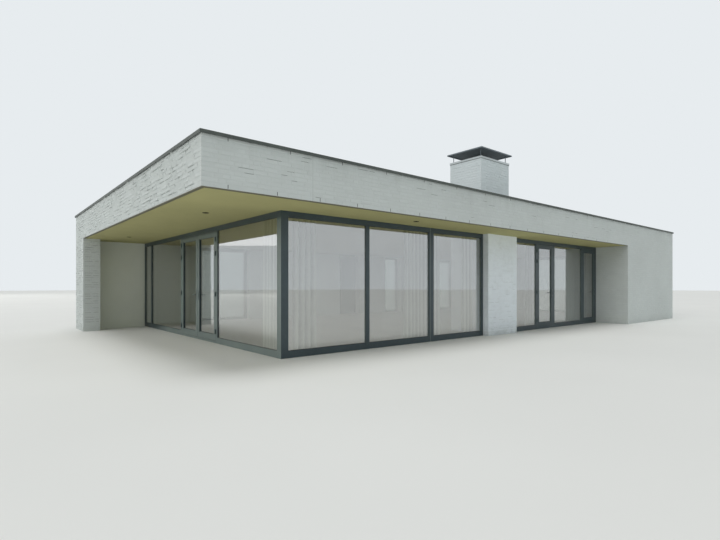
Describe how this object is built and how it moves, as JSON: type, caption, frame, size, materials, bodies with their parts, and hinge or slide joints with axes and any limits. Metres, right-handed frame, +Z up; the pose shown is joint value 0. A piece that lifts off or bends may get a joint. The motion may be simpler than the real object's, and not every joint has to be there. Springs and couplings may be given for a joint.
{
  "type": "beach house",
  "caption": "Single-storey flat-roofed beach house in white painted brick with an open corner porch, dark framed glass walls, opening terrace doors and a chimney.",
  "frame": {"origin": "on the ground at the centre of the roof outline", "axes": "+X along the house to the right seen from the terrace, +Y away from the terrace front, +Z up"},
  "size_m": [18.01, 9.66, 4.661],
  "materials": {
    "brick": "white painted brick",
    "soffit_plaster": "smooth beige render",
    "ceiling_plaster": "smooth white plaster",
    "floor_tile": "matt large tiles",
    "concrete": "plain concrete",
    "bitumen": "matt roofing sheet",
    "coping_metal": "matt dark grey",
    "frame_metal": "satin anthracite powder coat",
    "glass": "clear reflective",
    "crown_mortar": "rough pale mortar",
    "flue_clay": "plain fired clay",
    "lamp_black": "matt black",
    "rail_white": "satin white",
    "curtain_sheer": "soft sheer weave",
    "curtain_grey": "soft weave"
  },
  "bodies": {
    "house": {"floor_slab": "floor_tile", "back_wall": "brick", "right_end_wall": "brick", "front_block_wall": "brick", "reveal_wall": "brick", "return_wall": "brick", "hearth_pier": "brick", "front_fascia": "brick", "left_fascia": "brick", "fascia_lintels": "coping_metal", "soffit": "soffit_plaster", "ceiling": "ceiling_plaster", "roof_deck": "concrete", "roof_membrane": "bitumen", "coping": "coping_metal", "corner_post": "frame_metal", "front_window_frames": "frame_metal", "front_glass": "glass", "side_window_frames": "frame_metal", "side_glass": "glass", "door_surrounds": "frame_metal", "chimney_stack": "brick", "chimney_crown": "crown_mortar", "flue_liner": "flue_clay", "cap_legs": "coping_metal", "chimney_cap": "coping_metal", "downlights": "lamp_black", "curtain_rails": "rail_white", "lounge_curtains": "curtain_sheer", "bedroom_curtains": "curtain_grey", "rear_window_frames": "frame_metal", "rear_glass": "glass", "entrance_door": "frame_metal"},
    "near_garden_leaf": {"near_garden_door": "frame_metal", "near_garden_glass": "glass"},
    "far_garden_leaf": {"far_garden_door": "frame_metal", "far_garden_glass": "glass"},
    "bedroom_leaf_a": {"bedroom_door_a": "frame_metal", "bedroom_glass_a": "glass"},
    "bedroom_leaf_b": {"bedroom_door_b": "frame_metal", "bedroom_glass_b": "glass"}
  },
  "joints": [
    {"name": "near_garden_hinge", "type": "hinge", "parent": "house", "child": "near_garden_leaf", "pos_m": [-7.266, -1.0705, 0], "axis": [0, 0, 1], "range_deg": [0, 95]},
    {"name": "far_garden_hinge", "type": "hinge", "parent": "house", "child": "far_garden_leaf", "pos_m": [-7.266, 1.0455, 0], "axis": [0, 0, -1], "range_deg": [0, 95]},
    {"name": "bedroom_a_hinge", "type": "hinge", "parent": "house", "child": "bedroom_leaf_a", "pos_m": [0.9775, -3.831, 0], "axis": [0, 0, -1], "range_deg": [0, 95]},
    {"name": "bedroom_b_hinge", "type": "hinge", "parent": "house", "child": "bedroom_leaf_b", "pos_m": [3.7525, -3.831, 0], "axis": [0, 0, -1], "range_deg": [0, 95]}
  ]
}
